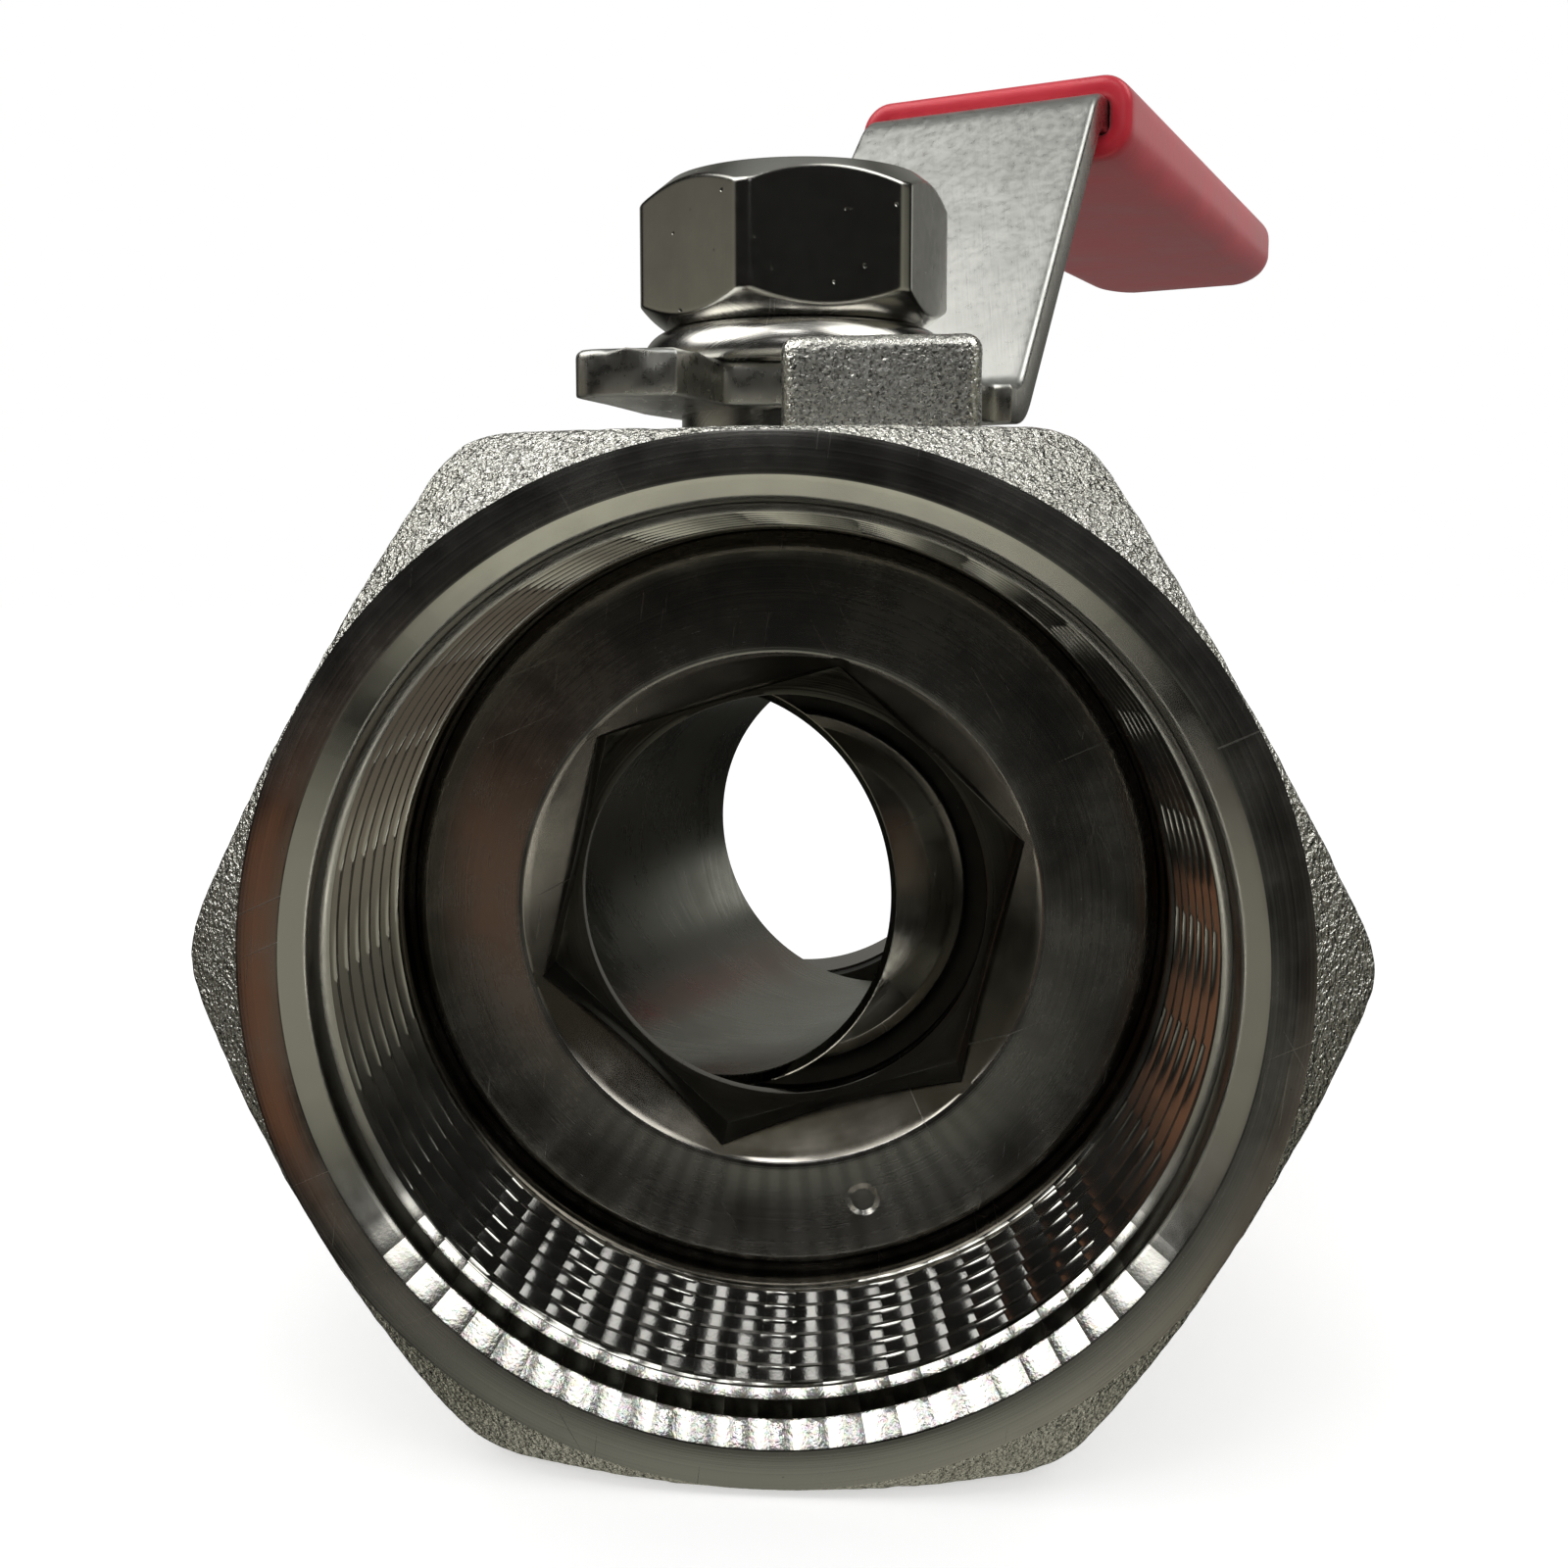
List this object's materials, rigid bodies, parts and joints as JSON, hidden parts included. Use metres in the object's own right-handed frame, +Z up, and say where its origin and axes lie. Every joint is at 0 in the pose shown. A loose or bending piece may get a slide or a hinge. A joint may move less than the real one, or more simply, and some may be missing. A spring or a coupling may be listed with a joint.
{
  "type": "ball valve",
  "caption": "Stainless lever ball valve: one-piece cast body with hexagon threaded ends, ported ball between seats, and a cranked lever with a red grip sleeve.",
  "frame": {"origin": "on the bore axis, at the plane where the full thread of the insert end begins, 3.6 mm inside the insert-end face", "axes": "+Y along the bore from the insert end to the other end, +Z up the stem, +X to the right when looking along +Y"},
  "size_m": [0.1043, 0.1897, 0.1107],
  "materials": {
    "cast_stainless": "investment cast and blasted, faces turned",
    "turned_stainless": "fine turned",
    "polished_stainless": "mirror polished",
    "sheet_stainless": "stamped sheet, sheared edges",
    "spring_stainless": "smooth rolled",
    "ptfe": "satin white",
    "red_vinyl": "dipped, soft gloss"
  },
  "bodies": {
    "valve": {"body": "cast_stainless", "insert": "turned_stainless", "insert_seal": "ptfe", "inlet_seat": "ptfe", "outlet_seat": "ptfe", "lower_packing": "ptfe", "upper_packing": "ptfe", "thrust_washer": "ptfe"},
    "lever_and_stem": {"stem": "turned_stainless", "gland": "turned_stainless", "lever": "sheet_stainless", "sleeve": "red_vinyl", "spring_washer": "spring_stainless", "stem_nut": "turned_stainless"},
    "ball": {"ball": "polished_stainless"}
  },
  "joints": [
    {"name": "lever_turn", "type": "hinge", "parent": "valve", "child": "lever_and_stem", "pos_m": [0, 0.0464, 0], "axis": [0, 0, 1], "range_deg": [-69, 21]},
    {"name": "ball_turn", "type": "hinge", "parent": "valve", "child": "ball", "pos_m": [0, 0.0464, 0], "axis": [0, 0, 1], "range_deg": [-69, 21]}
  ],
  "couplings": [
    {"joint": "ball_turn", "follows": "lever_turn", "ratio": 1}
  ]
}
